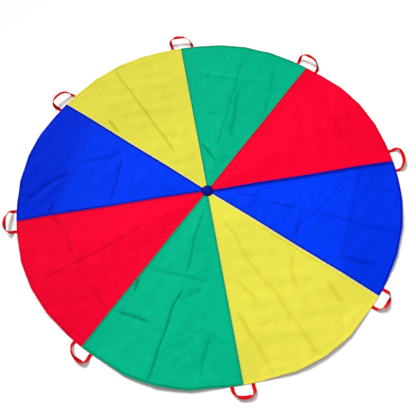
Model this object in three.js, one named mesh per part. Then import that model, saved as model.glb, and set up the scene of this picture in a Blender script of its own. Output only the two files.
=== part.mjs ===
// A play parachute laid out on the floor: a round canopy of sewn gores in four colours, a round cap
// over the gore points, and a webbing hand loop at the outer end of every seam.
//
// Millimetres, +Z up. The origin is the middle of the cap's underside, on the floor. The first seam
// runs along +X. Gores, seams and handles are numbered from it, counter-clockwise seen from above.

import * as THREE from "three";

// Canopy sizes. The cloth was packed folded in quarters of its radius, and those folds still show.
const canopyRadius = 900;
const clothThickness = 0.8;
const goreColours = ["red", "green", "yellow", "blue", "red", "green", "yellow", "blue"];
const gorePointRadius = 8;
const goreGap = 0.4;
const packedQuarters = 4;
const clearance = 0.3;

// How high the cloth stands above where it would lie flat: at each cross fold, on the fold down the
// middle of each gore, and where that fold meets the rim.
const crossFoldRises = [5, 1, 6];
const middleFoldRise = 6;
const rimFoldRise = 12;

// The hem is the cloth turned over twice, and a seam is two edges felled into a flat ridge.
const hemWidth = 12;
const hemThickness = 1.8;
const hemStep = 0.5;
const seamWidth = 7;
const seamThickness = 0.9;

// The cap: a padded disc on top, a plain disc underneath and the stitching that joins them.
const capRadius = 29;
const capMargin = 8;
const capEdge = 1.2;
const capCrown = 4;
const capDiscThickness = 0.8;
const capClothReach = 6;
const capThreadWidth = 1.4;
const capThreadHeight = 0.5;

// The handles: flat webbing whose two ends are tacked under the hem, a span apart. Each is sewn on a
// little to one side of its seam, by its shift. Its loop reaches out from the hem, rises and leans as it
// happened to fall, and turns are how far the webbing tips over at each of the turnShares, in degrees.
const handles = [
  { span: 109, shift: 2, reach: 46, rise: 18, lean: 11, turns: [-20, -2, 34, 52, 52] },
  { span: 109, shift: 0, reach: 42, rise: 32, lean: 11, turns: [-28, 10, -10, -38, -46] },
  { span: 107, shift: -9, reach: 43, rise: 29, lean: 13, turns: [-38, 14, -2, -48, -44] },
  { span: 106, shift: -9, reach: 46, rise: 34, lean: 11, turns: [-56, -12, -2, -10, -34] },
  { span: 106, shift: -1, reach: 42, rise: 34, lean: 13, turns: [74, 28, -22, -46, 12] },
  { span: 91, shift: 7, reach: 46, rise: 15, lean: 10, turns: [50, -6, -50, -50, -62] },
  { span: 86, shift: -5, reach: 46, rise: 11, lean: 3, turns: [74, 20, 10, 56, 64] },
  { span: 94, shift: -10, reach: 42, rise: 12, lean: -4, turns: [-74, -30, 34, 70, 54] },
];
const turnShares = [0.27, 0.42, 0.58, 0.74, 0.9];
const flatShare = 0.1;
const webbingWidth = 16;
const webbingThickness = 1.6;
const tabLength = 24;
const tabShow = 1.5;
const hingeReach = 3;
const tackLength = 13;
const tackWidth = 2.5;
const tackHeight = 0.5;

// Mesh fineness.
const roundSegments = 48;
const loopSteps = 40;

const colours = {
  red: 0xfb0131,
  green: 0x04b98a,
  yellow: 0xe6df50,
  blue: 0x0538f2,
  navy: 0x091b8f,
  webbing: 0xd70005,
  thread: 0xe8e6dc,
};

const goreCount = goreColours.length;
const seamAngle = (2 * Math.PI) / goreCount;
const halfGore = seamAngle / 2;

// Heights of the middle of the cloth where it lies lowest: on the cap's lower disc at the centre,
// and on the handles' tabs at the rim.
const lieAtCap = capDiscThickness + clearance + clothThickness / 2;
const lieAtRim = webbingThickness + clearance + hemThickness / 2;

const parachute = new THREE.Group();

function addPiece(parent, name, geometry, colour, roughness) {
  const material = new THREE.MeshStandardMaterial({ color: colours[colour], roughness, metalness: 0 });
  const piece = new THREE.Mesh(geometry, material);
  piece.name = name;
  parent.add(piece);
  return piece;
}

// A closed slab of rows by columns cells. place(row, column, side) gives the point for each corner of
// the grid, with side 0 underneath and 1 on top. A cell's underside is cut along the same diagonal as
// its top, so that the slab keeps its thickness where it twists.
function bentSlab(rows, columns, place) {
  const geometry = new THREE.BoxGeometry(1, 1, 1, rows, columns, 1);
  const corners = geometry.index.array;
  const underside = geometry.groups.at(-1);
  const cornersPerCell = 6;
  for (let i = underside.start; i < underside.start + underside.count; i += cornersPerCell) {
    const [a, b, , , c, d] = corners.slice(i, i + cornersPerCell);
    corners.set([a, b, c, a, c, d], i);
  }
  const points = geometry.attributes.position;
  for (let i = 0; i < points.count; i += 1) {
    const row = Math.round((points.getX(i) + 0.5) * rows);
    const column = Math.round((points.getY(i) + 0.5) * columns);
    const side = Math.round(points.getZ(i) + 0.5);
    points.setXYZ(i, ...place(row, column, side).toArray());
  }
  geometry.computeVertexNormals();
  return geometry;
}

// The rows of a gore, from its point to the rim. along is measured down the middle of the gore. A row
// with round 1 is an arc about the centre, and one with round 0 is straight across the gore, as a
// packing fold is. seamRise and middleRise lift the row at the seams and on the middle fold.
function goreRows() {
  const pitch = canopyRadius / packedQuarters;
  const flatEnd = capRadius + capClothReach;
  const hemStart = canopyRadius - hemWidth;
  const folds = crossFoldRises.map((rise, i) => ({
    along: pitch * (i + 1),
    round: 0,
    seamRise: rise,
    middleRise: rise + middleFoldRise,
  }));
  const inner = [
    { along: gorePointRadius, round: 1, seamRise: 0, middleRise: 0 },
    { along: flatEnd, round: 1, seamRise: 0, middleRise: 0 },
  ];
  const outer = { along: hemStart - hemStep, round: 1, seamRise: 0, middleRise: rimFoldRise };
  const panels = [inner[1], ...folds, outer];
  const rows = [inner[0]];
  panels.forEach((row, i) => {
    rows.push(row);
    if (i + 1 < panels.length) {
      rows.push(halfway(row, panels[i + 1]));
    }
  });
  rows.push({ ...outer, along: hemStart });
  rows.push({ ...outer, along: canopyRadius });
  return rows;
}

function halfway(a, b) {
  const mean = (key) => (a[key] + b[key]) / 2;
  return {
    along: mean("along"),
    round: mean("round"),
    seamRise: mean("seamRise"),
    middleRise: mean("middleRise"),
  };
}

const rows = goreRows();

// How far from the centre a row crosses the ray at an angle from the gore's middle.
function rowRadius(row, angle) {
  return row.along * THREE.MathUtils.lerp(1 / Math.cos(angle), 1, row.round);
}

// How high the middle of the cloth is. roof is 0 beside the seams and 1 on the middle fold.
function clothHeight(row, roof) {
  const outward = row.along / canopyRadius;
  const lie = THREE.MathUtils.lerp(lieAtCap, lieAtRim, outward);
  return lie + THREE.MathUtils.lerp(row.seamRise, row.middleRise, roof);
}

function layerThickness(row) {
  return row.along >= canopyRadius - hemWidth ? hemThickness : clothThickness;
}

// The columns of a gore, as shares of its half angle with the roof height there. The cloth is level
// beside each seam, as far as the widest handle's tabs reach, and rises straight to the middle fold.
function goreColumns() {
  const tabReaches = handles.map(({ span, shift }) => span / 2 + Math.abs(shift));
  const levelWidth = Math.max(...tabReaches) + webbingWidth;
  const levelShare = 1 - levelWidth / (canopyRadius * halfGore);
  const roofs = [0, 1 / 4, 1 / 2, 3 / 4, 1];
  const rising = roofs.map((roof) => ({ share: -levelShare * (1 - roof), roof }));
  const left = [{ share: -1, roof: 0 }, ...rising];
  const right = left
    .slice(0, -1)
    .reverse()
    .map(({ share, roof }) => ({ share: -share, roof }));
  return [...left, ...right];
}

const columns = goreColumns();

// One gore, with its middle along +X.
function goreGeometry() {
  return bentSlab(rows.length - 1, columns.length - 1, (i, j, side) => {
    const row = rows[i];
    const column = columns[j];
    const radius = rowRadius(row, column.share * halfGore);
    const atSeam = Math.sign(column.share) * Math.floor(Math.abs(column.share));
    const edgeShift = Math.asin(goreGap / 2 / radius) * atSeam;
    const angle = column.share * halfGore - edgeShift;
    const height = clothHeight(row, column.roof) + layerThickness(row) * (side - 0.5);
    return new THREE.Vector3(radius * Math.cos(angle), radius * Math.sin(angle), height);
  });
}

function addGores() {
  const counts = {};
  goreColours.forEach((colour, i) => {
    counts[colour] = (counts[colour] ?? 0) + 1;
    const gore = addPiece(parachute, `gore_${colour}_${counts[colour]}`, goreGeometry(), colour, 0.55);
    gore.rotation.z = seamAngle * (i + 0.5);
  });
}

// A felled seam lies on the two gores that it joins, from the cap to the hem.
function seamGeometry() {
  const stretch = rows.slice(1, -2);
  return bentSlab(stretch.length - 1, 1, (i, j, side) => {
    const row = stretch[i];
    const onCloth = clothHeight(row, 0) + clothThickness / 2 + clearance;
    const x = rowRadius(row, halfGore) - (i === stretch.length - 1 ? clearance : 0);
    return new THREE.Vector3(x, seamWidth * (j - 0.5), onCloth + seamThickness * side);
  });
}

function addSeams() {
  goreColours.forEach((colour, i) => {
    const seam = addPiece(parachute, `seam_${i + 1}`, seamGeometry(), colour, 0.55);
    seam.rotation.z = seamAngle * i;
  });
}

// The cap's top is padded in the middle, with a flat margin that the stitching runs round.
function addCap() {
  const under = new THREE.CylinderGeometry(capRadius, capRadius, capDiscThickness, roundSegments);
  under.rotateX(Math.PI / 2);
  const underside = addPiece(parachute, "cap_underside", under, "navy", 0.7);
  underside.position.z = capDiscThickness / 2;

  const base = lieAtCap + (lieAtRim - lieAtCap) * ((capRadius + capClothReach) / canopyRadius)
    + clothThickness / 2 + clearance;
  const padRadius = capRadius - capMargin;
  const profile = new THREE.Path();
  profile.moveTo(0, 0);
  profile.lineTo(capRadius, 0);
  profile.lineTo(capRadius, capEdge);
  profile.lineTo(padRadius, capEdge);
  profile.bezierCurveTo(padRadius * 0.8, capEdge + capCrown, padRadius * 0.4, capEdge + capCrown,
    0, capEdge + capCrown);
  const dome = new THREE.LatheGeometry(profile.getPoints(8), roundSegments);
  dome.rotateX(Math.PI / 2);
  const top = addPiece(parachute, "cap_top", dome, "navy", 0.7);
  top.position.z = base;

  const middle = capRadius - capMargin / 2;
  const ring = [
    new THREE.Vector2(middle - capThreadWidth / 2, 0),
    new THREE.Vector2(middle + capThreadWidth / 2, 0),
    new THREE.Vector2(middle + capThreadWidth / 2, capThreadHeight),
    new THREE.Vector2(middle - capThreadWidth / 2, capThreadHeight),
    new THREE.Vector2(middle - capThreadWidth / 2, 0),
  ];
  const stitching = new THREE.LatheGeometry(ring, roundSegments);
  stitching.rotateX(Math.PI / 2);
  const thread = addPiece(parachute, "cap_thread", stitching, "navy", 0.8);
  thread.position.z = base + capEdge + clearance;
}

// The two sides of a loop's middle line, from the hem to the far end, as shares of its reach outward,
// of half its span and of its rise. Both leave the hem flat and climb. The side from the first tab
// runs straight out and rounds a corner, and the other slants in to the far end.
const loopSides = [
  [
    [0, 1, 0],
    [0.16, 1, 0.03],
    [0.6, 1, 0.4],
    [0.9, 0.76, 0.82],
    [1, 0.36, 1],
  ],
  [
    [0, 1, 0],
    [0.16, 1, 0.03],
    [0.38, 0.96, 0.28],
    [0.62, 0.84, 0.66],
    [0.88, 0.54, 0.95],
    [1, 0.2, 1],
  ],
];

// The middle line of a loop, from where it leaves one tab to where it reaches the other. X is outward
// from the hinge line, Y along it and Z up.
function loopPath({ span, reach, rise, lean }) {
  const place = (hand) => ([out, across, up]) =>
    new THREE.Vector3(reach * out, (hand * across * span) / 2 + lean * out * out, rise * up);
  const leaving = loopSides[0].map(place(1));
  const returning = loopSides[1].map(place(-1)).reverse();
  return new THREE.CatmullRomCurve3([...leaving, ...returning], false, "centripetal");
}

// How far the webbing has turned about its own length at a share of the way along. It lies flat at both
// ends, and where its middle line is low the floor under its lower edge stops it turning further.
function webbingTurn(turns, share, height) {
  const tipped = turns.map((turn, i) => [turnShares[i], turn]);
  const stops = [[0, 0], [flatShare, 0], ...tipped, [1, 0]];
  const next = Math.max(1, stops.findIndex(([at]) => at >= share));
  const [startShare, startTurn] = stops[next - 1];
  const [endShare, endTurn] = stops[next];
  const eased = THREE.MathUtils.smoothstep(share, startShare, endShare);
  const wanted = THREE.MathUtils.degToRad(THREE.MathUtils.lerp(startTurn, endTurn, eased));
  const room = THREE.MathUtils.clamp((height - clearance) / (webbingWidth / 2), 0, 1);
  return THREE.MathUtils.clamp(wanted, -Math.asin(room), Math.asin(room));
}

// The loop is one strip of webbing. Both ends are rounded over the hinge line, so that it can turn.
function loopGeometry(handle) {
  const path = loopPath(handle);
  const radius = webbingThickness / 2;
  const roundings = [70, 35].map((degrees) => THREE.MathUtils.degToRad(degrees));
  const endRows = roundings.length;
  const upward = new THREE.Vector3(0, 0, 1);
  const total = loopSteps + 2 * endRows;
  return bentSlab(total, 1, (i, j, side) => {
    const step = THREE.MathUtils.clamp(i - endRows, 0, loopSteps);
    const share = step / loopSteps;
    const centre = path.getPointAt(share);
    const tangent = path.getTangentAt(share);
    const acrossStrip = upward.clone().cross(tangent).normalize();
    const throughStrip = tangent.clone().cross(acrossStrip);
    const turn = webbingTurn(handle.turns, share, centre.z);
    acrossStrip.applyAxisAngle(tangent, turn);
    throughStrip.applyAxisAngle(tangent, turn);
    const beyond = i < endRows ? roundings[i] : roundings[total - i];
    const rounding = beyond ?? 0;
    centre.x -= radius * Math.sin(rounding);
    centre.addScaledVector(acrossStrip, webbingWidth * (j - 0.5));
    centre.addScaledVector(throughStrip, webbingThickness * Math.cos(rounding) * (side - 0.5));
    return centre;
  });
}

// A handle at the end of a seam: two tabs under the hem, the tacks that hold them, and the loop.
function addHandle(handle, index) {
  const place = new THREE.Group();
  place.rotation.z = seamAngle * index;
  parachute.add(place);
  const label = `handle_${index + 1}`;
  const hemTop = lieAtRim + hemThickness / 2;
  const hemMiddle = canopyRadius - hemWidth / 2 - tabShow;
  const tabMiddle = canopyRadius + tabShow - tabLength / 2;
  [["a", 1], ["b", -1]].forEach(([end, hand]) => {
    const across = handle.shift + (hand * handle.span) / 2;
    const strip = new THREE.BoxGeometry(tabLength, webbingWidth, webbingThickness);
    const tab = addPiece(place, `${label}_tab_${end}`, strip, "webbing", 0.8);
    tab.position.set(tabMiddle, across, webbingThickness / 2);
    const bar = new THREE.BoxGeometry(tackWidth, tackLength, tackHeight);
    const tack = addPiece(place, `${label}_tack_${end}`, bar, "thread", 0.8);
    tack.position.set(hemMiddle, across, hemTop + clearance + tackHeight / 2);
  });
  const loop = addPiece(place, `${label}_loop`, loopGeometry(handle), "webbing", 0.8);
  loop.position.set(canopyRadius + hingeReach, handle.shift, webbingThickness / 2);
}

addGores();
addSeams();
addCap();
handles.forEach(addHandle);

export default parachute;
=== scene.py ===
import math
from collections import namedtuple

import bpy
import numpy as np
from mathutils import Matrix, Vector


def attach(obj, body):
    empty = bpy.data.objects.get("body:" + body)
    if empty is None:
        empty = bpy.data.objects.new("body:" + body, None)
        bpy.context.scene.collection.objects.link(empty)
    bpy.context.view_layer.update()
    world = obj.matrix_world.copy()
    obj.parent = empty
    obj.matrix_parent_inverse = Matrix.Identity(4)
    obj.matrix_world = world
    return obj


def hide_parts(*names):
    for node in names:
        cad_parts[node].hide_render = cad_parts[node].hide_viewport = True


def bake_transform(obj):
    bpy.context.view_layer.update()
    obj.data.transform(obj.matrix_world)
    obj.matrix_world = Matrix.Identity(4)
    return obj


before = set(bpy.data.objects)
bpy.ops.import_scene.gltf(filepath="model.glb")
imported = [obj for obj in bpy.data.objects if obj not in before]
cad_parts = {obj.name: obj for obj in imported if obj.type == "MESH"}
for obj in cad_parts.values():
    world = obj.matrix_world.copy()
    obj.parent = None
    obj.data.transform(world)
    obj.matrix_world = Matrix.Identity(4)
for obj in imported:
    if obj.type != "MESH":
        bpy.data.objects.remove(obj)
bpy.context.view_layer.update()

# Gores
# Eight panels of smooth polyester taffeta in four colours, cut to a point and sewn side to side. They
# came packed in quarters of the radius, so pressed folds and creases still cross them. The outer edge of
# each is turned under twice into a hem.

# The sizes of a gore. The step is the run over which one layer thickens to those of the hem, and the rounding
# is how much of its quarter ellipse the rim keeps.
canopy_radius = 0.900
gore_point = 0.008
gore_gap = 0.0002
cloth_thickness = 0.0005
weave_pitch = 0.0009
hem_width = 0.012
hem_thickness = 0.0015
hem_step = 0.0012
rim_rounding = 0.985
gore_names = ["red_1", "green_1", "yellow_1", "blue_1", "red_2", "green_2", "yellow_2", "blue_2"]
gore_colours = [name.split("_")[0] for name in gore_names]
gore_angle = 2 * math.pi / len(gore_names)
half_gore = gore_angle / 2

# Where the folds lie along the middle of a gore, and how high the cloth stands on each of them, beside
# the seams and on the middle fold. Between the cap and the first fold, and out to the hem, rows of the
# cloth turn from arcs about the centre to straight lines and back.
cap_reach = 0.035
hem_start = canopy_radius - hem_width
fold_places = [cap_reach, 0.225, 0.450, 0.675, hem_start]
seam_rises = [0.0, 0.005, 0.001, 0.006, 0.0]
middle_rises = [0.0, 0.011, 0.007, 0.012]
row_roundness = [1.0, 0.0, 0.0, 0.0, 1.0]
lie_at_cap = 0.0015
lie_at_rim = 0.0028
level_share = 0.78
middle_softness = 0.13

# How far the rim lies outside the round at the clockwise seam and on the middle fold of each gore, and how
# high it stands on that fold. Then the rows over which the cloth takes the pressed corners of the rim, its
# reach and its roof, and the shares of the half angle over which the reach goes from seam to middle fold.
rim_places = {
    "red_1": (0.000, 0.001, 0.014),
    "green_1": (-0.005, -0.005, 0.008),
    "yellow_1": (-0.0075, -0.004, 0.008),
    "blue_1": (-0.004, 0.000, 0.014),
    "red_2": (0.000, 0.005, 0.014),
    "green_2": (0.000, 0.017, 0.014),
    "yellow_2": (0.000, 0.015, 0.014),
    "blue_2": (0.000, 0.000, 0.014),
}
corner_rows = (0.76, 0.86)
reach_rows = (0.50, 0.86)
roof_rows = (0.82, 0.87)
reach_shares = (0.88, 0.16)

# Creases that the packing pressed into each gore: the depth and half width of the groove (a negative
# depth is a low ridge), then the points that it runs through, as distances along the gore from the
# centre and across it, anticlockwise.
creases = {
    "red_1": [
        (-0.0012, 0.010, (0.655, 0.265), (0.676, 0.080), (0.677, -0.040), (0.680, -0.215)),
        (-0.0005, 0.010, (0.445, 0.120), (0.443, -0.130)),
        (0.0013, 0.014, (0.762, 0.020), (0.738, -0.020), (0.694, -0.135)),
    ],
    "green_1": [
        (0.0016, 0.006, (0.840, -0.008), (0.810, -0.006), (0.230, 0.010)),
        (0.0018, 0.010, (0.600, -0.025), (0.300, -0.047)),
        (0.0012, 0.009, (0.800, -0.178), (0.705, -0.181), (0.530, -0.187), (0.390, -0.148)),
        (-0.0014, 0.008, (0.697, 0.230), (0.682, 0.100), (0.690, -0.040), (0.704, -0.200)),
        (0.0012, 0.006, (0.684, 0.262), (0.660, 0.106), (0.672, -0.020)),
        (0.0017, 0.006, (0.442, 0.132), (0.432, 0.026)),
        (0.0040, 0.005, (0.256, 0.092), (0.216, 0.050), (0.160, -0.010)),
    ],
    "yellow_1": [
        (0.0029, 0.006, (0.890, 0.032), (0.255, 0.021)),
        (0.0038, 0.007, (0.620, 0.205), (0.520, 0.200)),
    ],
    "blue_1": [
        (-0.0024, 0.006, (0.672, -0.225), (0.664, -0.074), (0.668, 0.055)),
        (0.0021, 0.008, (0.655, -0.010), (0.510, -0.078), (0.450, -0.145)),
        (0.0027, 0.006, (0.449, -0.100), (0.438, -0.007), (0.434, 0.155)),
        (0.0036, 0.014, (0.668, 0.035), (0.740, 0.115), (0.836, 0.240)),
        (-0.0026, 0.014, (0.652, 0.062), (0.725, 0.132), (0.797, 0.242)),
        (0.0008, 0.009, (0.773, 0.278), (0.651, 0.058)),
        (0.0040, 0.007, (0.698, 0.204), (0.687, 0.290)),
    ],
    "red_2": [
        (0.0014, 0.009, (0.840, -0.008), (0.535, 0.002), (0.327, -0.002)),
        (0.0008, 0.008, (0.700, -0.290), (0.661, -0.205), (0.669, -0.126), (0.679, -0.040), (0.672, 0.060)),
        (0.0018, 0.007, (0.684, -0.275), (0.661, -0.205)),
        (0.0009, 0.008, (0.669, -0.126), (0.679, -0.040)),
        (0.0016, 0.008, (0.676, 0.120), (0.671, 0.191), (0.670, 0.285)),
        (0.0008, 0.008, (0.607, 0.172), (0.510, 0.192)),
    ],
    "green_2": [
        (0.0022, 0.006, (0.099, 0.009), (0.225, 0.001), (0.439, 0.008)),
        (0.0038, 0.0045, (0.486, 0.012), (0.569, -0.011), (0.920, -0.034)),
        (0.0016, 0.006, (0.437, -0.159), (0.439, 0.006), (0.436, 0.126)),
        (0.0036, 0.006, (0.651, -0.258), (0.673, -0.078)),
        (0.0020, 0.006, (0.656, 0.169), (0.767, 0.165), (0.852, 0.169)),
        (0.0010, 0.007, (0.673, 0.086), (0.665, 0.178), (0.696, 0.249)),
        (0.0015, 0.009, (0.467, 0.094), (0.538, 0.023)),
        (0.0050, 0.006, (0.484, -0.196), (0.560, -0.194)),
    ],
    "yellow_2": [
        (0.0012, 0.009, (0.154, -0.022), (0.276, -0.020), (0.408, -0.038), (0.573, -0.020), (0.920, -0.023)),
        (0.0016, 0.009, (0.551, -0.204), (0.671, -0.207), (0.900, -0.219)),
        (0.0016, 0.008, (0.424, -0.130), (0.508, -0.117), (0.588, -0.099)),
        (0.0013, 0.010, (0.462, 0.171), (0.524, 0.110), (0.580, 0.082), (0.640, 0.070)),
        (0.0020, 0.011, (0.644, 0.208), (0.751, 0.193), (0.800, 0.208)),
        (0.0006, 0.010, (0.663, 0.150), (0.771, 0.121)),
        (0.0012, 0.007, (0.670, -0.156), (0.678, -0.095)),
        (0.0020, 0.004, (0.282, 0.102), (0.809, 0.320)),
    ],
    "blue_2": [
        (0.0022, 0.006, (0.113, 0.015), (0.223, 0.013), (0.237, 0.065)),
        (0.0011, 0.007, (0.235, 0.074), (0.250, 0.018), (0.204, -0.062)),
        (0.0021, 0.006, (0.275, -0.006), (0.438, -0.003)),
        (0.0014, 0.008, (0.622, 0.204), (0.534, 0.022), (0.455, -0.084), (0.440, -0.160)),
        (0.0018, 0.007, (0.531, -0.007), (0.920, -0.048)),
        (0.0014, 0.007, (0.676, 0.138), (0.674, 0.000), (0.663, -0.134), (0.648, -0.250)),
        (0.0026, 0.011, (0.650, -0.206), (0.830, -0.204)),
        (-0.0012, 0.006, (0.440, 0.154), (0.451, 0.079), (0.454, 0.005)),
        (0.0012, 0.007, (0.454, 0.005), (0.441, -0.091), (0.449, -0.171)),
        (0.0017, 0.006, (0.598, 0.210), (0.708, 0.183)),
        (0.0015, 0.006, (0.697, 0.262), (0.680, 0.180)),
        (0.0012, 0.007, (0.709, 0.178), (0.856, 0.172)),
    ],
}

# How a crease dies away at its ends: over this distance, or this share of a short crease, along an S curve
# that starts a little way up. Then how deep a crease takes the full painted shade in the colour, and the
# shares over which creases and crumple stop at a seam.
crease_taper = 0.060
crease_taper_share = 0.35
crease_end = 0.12
deep_crease = 0.003
crease_shares = (1.0, 0.94)

# Waves of the cloth. Each has its size, then one or two sines that are multiplied, with their radians in a
# metre along and across the gore and their share of its turn. They are the soft swell between the creases,
# the wander of the creases and of the trains of crumple, and the patches in which the crumple comes.
gore_turn = 1.7
swell_waves = [
    (1.00, (33.0, 9.0, 1.0), (-7.0, 39.0, 2.3)),
    (0.45, (74.0, -31.0, 3.1)),
    (0.30, (57.0, 88.0, 1.0), (23.0, 0.0, 1.0)),
]
crease_wander = 0.0016
wander_along = [(crease_wander, (0.0, 43.0, 1.0))]
wander_across = [(crease_wander, (37.0, 0.0, 2.0))]
train_bends = [(1.3, (0.0, 17.0, 1.0))]
train_shivers = [(0.8, (11.0, 29.0, 2.0))]
crumple_patches = [(0.8, (8.0, 5.0, 1.0), (-4.0, 9.0, 2.0))]

# The height of the swell and of the crumple in each dye lot, the rows and the share of the roof over which
# they set in, the level about which the crumple comes and goes, and the bearing and the folds in a metre of
# each of its trains.
swell_height = 0.0011
swell_rows = (cap_reach, 0.135)
swell_roof = 1 / 3
crumple_heights = {"red": 0.0005, "green": 0.0020, "yellow": 0.0006, "blue": 0.0021}
crumple_rows = (0.06, 0.16)
crumple_level = 0.6
crumple_trains = [(0.4, 19.0), (1.9, 23.0), (2.7, 29.0)]

# The ripples that the stitching draws along the seams and the hem. Their spacing drifts with a slower sine,
# and those of a seam set in outside the cap and end before the hem.
pucker_height = 0.0003
pucker_length = 0.021
pucker_reach = 0.014
pucker_drift = 2.0
pucker_drift_rate = 9.0
pucker_start = (0.04, 0.09)
pucker_end = (hem_start, hem_start - 0.02)
hem_ripples = 240
hem_drift = 3.0
hem_drift_rate = 11.0


def smoothstep(x):
    """0 below 0, 1 above 1 and an S curve between: three x squared less two x cubed."""
    x = np.clip(x, 0.0, 1.0)
    return x * x * (3.0 - 2.0 * x)


def soft_ramp(value, start, end):
    """0 before the start and 1 past the end, with an S curve of the share of the way between them."""
    return smoothstep((value - start) / (end - start))


def waves(table, along, across, turn):
    """The sum of some waves, each its size times the sines of its radians along and across, with the turn as
    their phase."""
    total = np.zeros_like(along)
    for size, *sines in table:
        product = size
        for per_along, per_across, turns in sines:
            product = product * np.sin(per_along * along + per_across * across + turns * turn)
        total = total + product
    return total


def rim_chord(share):
    """How far the rim is pulled in between its pressed corners, as a share of the radius. Each chord between
    two corners is the cosine of its half angle over the cosine of the angle from its middle. Beside the
    seams the rim stays round."""
    half_chord = level_share * half_gore / 4
    place = np.clip(share / level_share, -1.0, 1.0) * 2.0
    from_middle = (place - np.floor(place) - 0.5) * 2.0 * half_chord
    return np.where(np.abs(share) < level_share, 1.0 - math.cos(half_chord) / np.cos(from_middle), 0.0)


def gore_place(index, row, share):
    """Distances along and across a gore of a row and a share of the half angle. A row is named by its radius
    on the middle line of a round canopy. A round row keeps that radius, and a straight one divides it by
    the cosine of the angle from the middle. Towards the rim the rows take its corners and lie as far out as
    it does, which is even beside the seams and goes along an S curve to the middle fold."""
    roundness = np.interp(row, fold_places, row_roundness)
    angle = share * half_gore
    radius = row * (roundness + (1.0 - roundness) / np.cos(angle))
    radius = radius * (1.0 - rim_chord(share) * soft_ramp(row, *corner_rows))
    seam_reach, middle_reach, _ = rim_places[gore_names[index]]
    next_reach = rim_places[gore_names[(index + 1) % len(gore_names)]][0]
    reach = np.where(share < 0, seam_reach, next_reach)
    reach = reach + (middle_reach - reach) * soft_ramp(np.abs(share), *reach_shares)
    radius = radius + reach * soft_ramp(row, *reach_rows)
    return radius * np.cos(angle), radius * np.sin(angle)


def crease_shape(along, across, points):
    """The least distance to a crease, which is a run of straight pieces: for each piece, the nearest point is
    the foot of the perpendicular, kept between the ends. Also gives how strong the crease is there, which
    falls almost to nothing along an S curve at both ends."""
    nearest = np.full_like(along, np.inf)
    travelled = np.zeros_like(along)
    total = 0.0
    for (a0, c0), (a1, c1) in zip(points, points[1:]):
        step_a, step_c = a1 - a0, c1 - c0
        length = math.hypot(step_a, step_c)
        foot = np.clip(((along - a0) * step_a + (across - c0) * step_c) / length**2, 0.0, 1.0)
        distance = np.hypot(along - a0 - foot * step_a, across - c0 - foot * step_c)
        travelled = np.where(distance < nearest, total + foot * length, travelled)
        nearest = np.minimum(nearest, distance)
        total += length
    taper = min(crease_taper, crease_taper_share * total)
    return nearest, smoothstep(crease_end + np.minimum(travelled, total - travelled) / taper)


def crumple(along, across, turn):
    """Fine crumple of packed cloth, from -0.5 to 0.5: the mean of some trains of folds that comes and goes in
    patches. Each train is the size of a sine along its own bearing, so that its valleys are sharp and its
    backs are round, and its phase wanders with slower sines."""
    folds = np.zeros_like(along)
    valley_softness = 0.01
    for bearing, number in crumple_trains:
        onward = along * math.cos(bearing) + across * math.sin(bearing)
        beside = across * math.cos(bearing) - along * math.sin(bearing)
        wander = waves(train_bends, onward, beside, turn + bearing)
        wander = wander + waves(train_shivers, onward, beside, turn)
        folds = folds + np.sqrt(np.sin(math.pi * number * onward + wander) ** 2 + valley_softness)
    patches = smoothstep(crumple_level + waves(crumple_patches, along, across, turn))
    return (folds / len(crumple_trains) - 0.5) * patches


def seam_pucker(radius, distance):
    """A ripple along a seam: a sine of the radius that dies away with the distance from the seam."""
    drift = pucker_drift * np.sin(pucker_drift_rate * radius)
    swing = np.sin(2 * math.pi * radius / pucker_length + drift)
    return pucker_height * swing * np.exp(-distance / pucker_reach)


def cloth_height(index, row, share):
    """Height of the middle of the cloth on a gore: where it lies, plus the rise of the folds (straight
    between one fold and the next along the gore, and across it a soft roof, whose square root is taken at
    the rim), plus the swell and the crumple, less the grooves of the creases, plus the ripples of the
    stitching, and never in the floor. Also gives the painted shade that the colour takes along each crease
    groove, with painted light along a low ridge as a negative value, as a sum of bell curves of the
    distance to the creases."""
    along, across = gore_place(index, row, share)
    radius = np.hypot(along, across)
    roof = np.clip(1.0 - np.abs(share) / level_share, 0.0, 1.0)
    peak = math.hypot(1.0, middle_softness) - middle_softness
    roof = np.where(roof > 0, 1.0 - (np.hypot(1.0 - roof, middle_softness) - middle_softness) / peak, 0.0)
    lie = lie_at_cap + (lie_at_rim - lie_at_cap) * row / canopy_radius
    at_seam = np.interp(row, fold_places, seam_rises)
    at_middle = np.interp(row, fold_places, [*middle_rises, rim_places[gore_names[index]][2]])
    near_rim = soft_ramp(row, *roof_rows)
    height = lie + at_seam + (at_middle - at_seam) * roof ** (1.0 - 0.5 * near_rim)

    inside = soft_ramp(roof, 0.0, swell_roof) * soft_ramp(row, *swell_rows)
    turn = gore_turn * index
    height = height + swell_height * inside * waves(swell_waves, along, across, turn)

    free = soft_ramp(np.abs(share), *crease_shares) * (1.0 - near_rim) + inside * near_rim
    crumple_height = crumple_heights[gore_colours[index]] * soft_ramp(row, *crumple_rows)
    height = height + crumple_height * free * crumple(along, across, turn)
    crease_along = along + waves(wander_along, along, across, turn)
    crease_across = across + waves(wander_across, along, across, turn)
    painted_crease_shade = np.zeros_like(height)
    for depth, width, *points in creases[gore_names[index]]:
        distance, strength = crease_shape(crease_along, crease_across, points)
        strength = strength * free * depth
        height = height - strength * np.exp(-distance / width)
        painted_crease_shade = painted_crease_shade + strength / deep_crease * np.exp(-((distance / width) ** 2))

    seam_distance = radius * (1.0 - np.abs(share)) * half_gore
    calm = soft_ramp(radius, *pucker_start) * soft_ramp(radius, *pucker_end)
    height = height + calm * seam_pucker(radius, seam_distance)
    angle = (index + 0.5 + share / 2) * gore_angle
    ripple = np.sin(hem_ripples * angle + hem_drift * np.sin(hem_drift_rate * angle))
    height = height + pucker_height * ripple * np.exp(-np.abs(row - hem_start) / pucker_reach)
    return np.maximum(height, cloth_thickness), np.clip(painted_crease_shade, -1.0, 1.0)


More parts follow.
